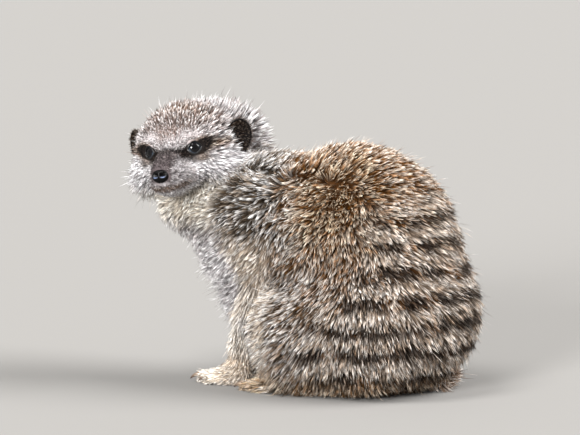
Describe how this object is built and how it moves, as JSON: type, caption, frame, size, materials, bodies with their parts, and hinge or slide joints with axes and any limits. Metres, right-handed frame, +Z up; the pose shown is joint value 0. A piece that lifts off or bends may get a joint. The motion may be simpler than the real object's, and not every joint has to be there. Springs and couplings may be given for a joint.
{
  "type": "meerkat figure",
  "caption": "Life-size model of an adult meerkat sitting hunched on all fours with its head turned over its left shoulder, banded fawn fur, dark eye patches and its tail laid round its flank",
  "frame": {"origin": "on the floor, in the middle of the flat under the rump that the animal sits on", "axes": "+Z up; -Y is the way the trunk faces; +X is the animal's left. The head is turned about 96 degrees from -Y towards +X."},
  "size_m": [0.1292, 0.2136, 0.1579],
  "materials": {
    "coat_fawn": "dense fur, fawn and brown grizzled with cream tips, with dark broken bands on the back",
    "coat_grizzled": "short grey-brown grizzled fur with white tips",
    "coat_pale": "short cream fur",
    "coat_dark": "short blackish brown fur",
    "nose_leather": "moist bare skin, nearly black",
    "eye": "clear wet gloss over a very dark brown iris",
    "claw_horn": "dark horn, slightly glossy"
  },
  "bodies": {
    "root": {"trunk": "coat_fawn", "haunch_left": "coat_fawn", "haunch_right": "coat_fawn", "tail_root": "coat_fawn", "tail_middle": "coat_fawn", "head": "coat_grizzled", "neck": "coat_grizzled", "foreleg_left": "coat_pale", "foreleg_right": "coat_pale", "forepaw_left": "coat_pale", "forepaw_right": "coat_pale", "hind_foot_left": "coat_pale", "hind_foot_right": "coat_pale", "ear_left": "coat_dark", "ear_right": "coat_dark", "tail_tip": "coat_dark", "nose": "nose_leather", "eye_left": "eye", "eye_right": "eye", "claw_fore_left_1": "claw_horn", "claw_fore_left_2": "claw_horn", "claw_fore_left_3": "claw_horn", "claw_fore_left_4": "claw_horn", "claw_fore_right_1": "claw_horn", "claw_fore_right_2": "claw_horn", "claw_fore_right_3": "claw_horn", "claw_fore_right_4": "claw_horn", "claw_hind_left_1": "claw_horn", "claw_hind_left_2": "claw_horn", "claw_hind_left_3": "claw_horn", "claw_hind_left_4": "claw_horn", "claw_hind_right_1": "claw_horn", "claw_hind_right_2": "claw_horn", "claw_hind_right_3": "claw_horn", "claw_hind_right_4": "claw_horn"}
  },
  "joints": []
}
